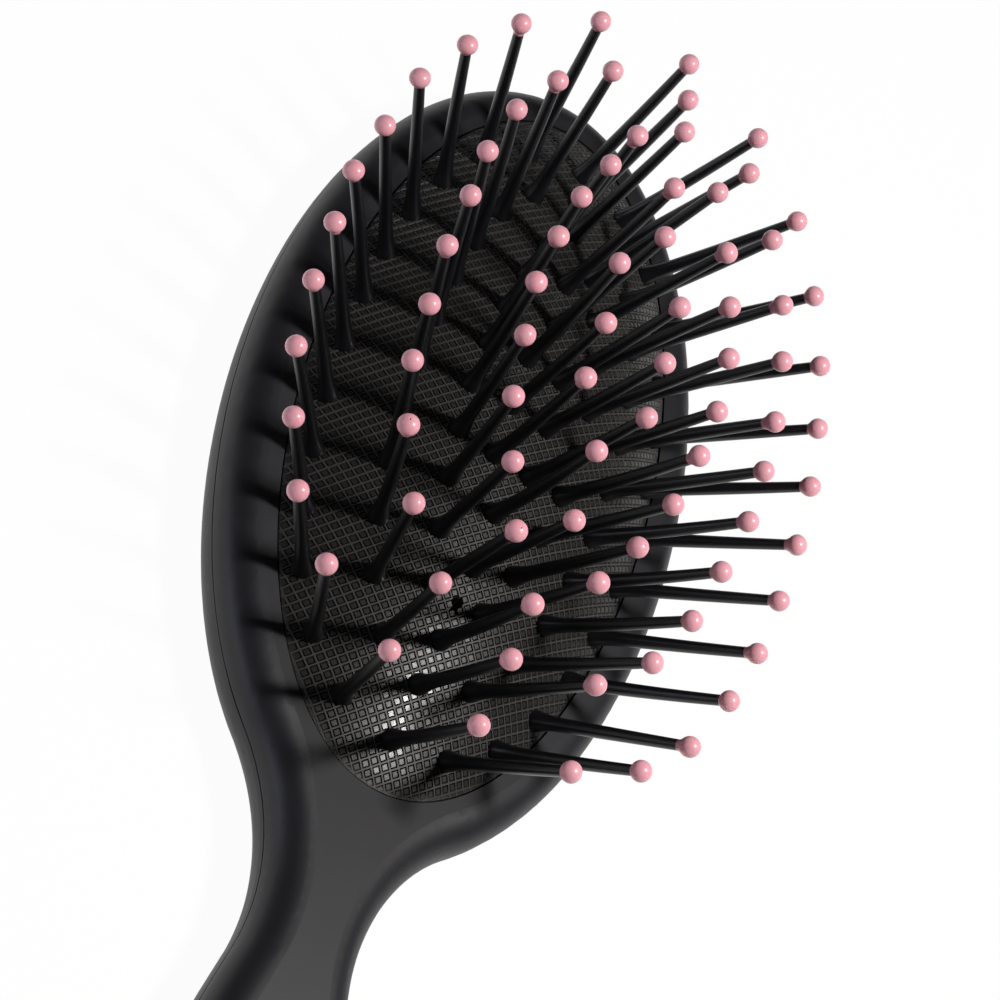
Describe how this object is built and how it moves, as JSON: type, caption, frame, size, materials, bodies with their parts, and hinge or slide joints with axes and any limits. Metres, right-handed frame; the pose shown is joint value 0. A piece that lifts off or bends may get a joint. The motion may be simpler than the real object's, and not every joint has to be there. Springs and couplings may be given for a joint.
{
  "type": "hair brush",
  "caption": "Oval cushioned hair brush with a waisted handle, a domed rubber air cushion and ball-tipped pins that rock in it.",
  "frame": {"origin": "on the surface that the brush lies on, under the middle of its box", "axes": "+Y along the handle towards the head's tip, +Z out of the pins, X across the head"},
  "size_m": [0.0734, 0.2154, 0.0436],
  "materials": {
    "shell": "soft-touch charcoal",
    "cushion": "black rubber with a fine diamond grid",
    "pins": "black nylon, half gloss",
    "tips": "pink, smooth"
  },
  "bodies": {
    "shell": {"front_shell": "shell", "rear_shell": "shell"},
    "cushion": {"cushion_pad": "cushion"},
    "row_01": {"pin_row_01": "pins", "tip_row_01": "tips"},
    "row_02": {"pin_row_02": "pins", "tip_row_02": "tips"},
    "row_03": {"pin_row_03": "pins", "tip_row_03": "tips"},
    "row_04": {"pin_row_04": "pins", "tip_row_04": "tips"},
    "row_05": {"pin_row_05": "pins", "tip_row_05": "tips"},
    "row_06": {"pin_row_06": "pins", "tip_row_06": "tips"},
    "row_07": {"pin_row_07": "pins", "tip_row_07": "tips"},
    "row_08": {"pin_row_08": "pins", "tip_row_08": "tips"},
    "row_09": {"pin_row_09": "pins", "tip_row_09": "tips"},
    "row_10": {"pin_row_10": "pins", "tip_row_10": "tips"},
    "row_11": {"pin_row_11": "pins", "tip_row_11": "tips"},
    "row_12": {"pin_row_12": "pins", "tip_row_12": "tips"},
    "row_13": {"pin_row_13": "pins", "tip_row_13": "tips"}
  },
  "joints": [
    {"name": "cushion_press", "type": "slide", "parent": "shell", "child": "cushion", "axis": [0, 0, -1], "range_m": [0, 0.003], "stiffness_N_per_m": 2500, "deforming": ["cushion_pad"]},
    {"name": "row_rock_01", "type": "hinge", "parent": "cushion", "child": "row_01", "pos_m": [0, 0.00688, 0.01348], "axis": [1, 0, 0], "range_deg": [-5, 5], "stiffness_Nm_per_rad": 0.08},
    {"name": "row_rock_02", "type": "hinge", "parent": "cushion", "child": "row_02", "pos_m": [0, 0.01352, 0.01459], "axis": [1, 0, 0], "range_deg": [-5, 5], "stiffness_Nm_per_rad": 0.08},
    {"name": "row_rock_03", "type": "hinge", "parent": "cushion", "child": "row_03", "pos_m": [0, 0.02024, 0.01553], "axis": [1, 0, 0], "range_deg": [-5, 5], "stiffness_Nm_per_rad": 0.08},
    {"name": "row_rock_04", "type": "hinge", "parent": "cushion", "child": "row_04", "pos_m": [0, 0.02707, 0.01652], "axis": [1, 0, 0], "range_deg": [-5, 5], "stiffness_Nm_per_rad": 0.08},
    {"name": "row_rock_05", "type": "hinge", "parent": "cushion", "child": "row_05", "pos_m": [0, 0.03426, 0.01708], "axis": [1, 0, 0], "range_deg": [-5, 5], "stiffness_Nm_per_rad": 0.08},
    {"name": "row_rock_06", "type": "hinge", "parent": "cushion", "child": "row_06", "pos_m": [0, 0.04143, 0.01787], "axis": [1, 0, 0], "range_deg": [-5, 5], "stiffness_Nm_per_rad": 0.08},
    {"name": "row_rock_07", "type": "hinge", "parent": "cushion", "child": "row_07", "pos_m": [0, 0.04875, 0.01807], "axis": [1, 0, 0], "range_deg": [-5, 5], "stiffness_Nm_per_rad": 0.08},
    {"name": "row_rock_08", "type": "hinge", "parent": "cushion", "child": "row_08", "pos_m": [0, 0.05608, 0.01803], "axis": [1, 0, 0], "range_deg": [-5, 5], "stiffness_Nm_per_rad": 0.08},
    {"name": "row_rock_09", "type": "hinge", "parent": "cushion", "child": "row_09", "pos_m": [0, 0.06325, 0.0174], "axis": [1, 0, 0], "range_deg": [-5, 5], "stiffness_Nm_per_rad": 0.08},
    {"name": "row_rock_10", "type": "hinge", "parent": "cushion", "child": "row_10", "pos_m": [0, 0.07043, 0.01699], "axis": [1, 0, 0], "range_deg": [-5, 5], "stiffness_Nm_per_rad": 0.08},
    {"name": "row_rock_11", "type": "hinge", "parent": "cushion", "child": "row_11", "pos_m": [0, 0.07727, 0.01616], "axis": [1, 0, 0], "range_deg": [-5, 5], "stiffness_Nm_per_rad": 0.08},
    {"name": "row_rock_12", "type": "hinge", "parent": "cushion", "child": "row_12", "pos_m": [0, 0.08399, 0.01538], "axis": [1, 0, 0], "range_deg": [-5, 5], "stiffness_Nm_per_rad": 0.08},
    {"name": "row_rock_13", "type": "hinge", "parent": "cushion", "child": "row_13", "pos_m": [0, 0.09063, 0.01441], "axis": [1, 0, 0], "range_deg": [-5, 5], "stiffness_Nm_per_rad": 0.08}
  ]
}
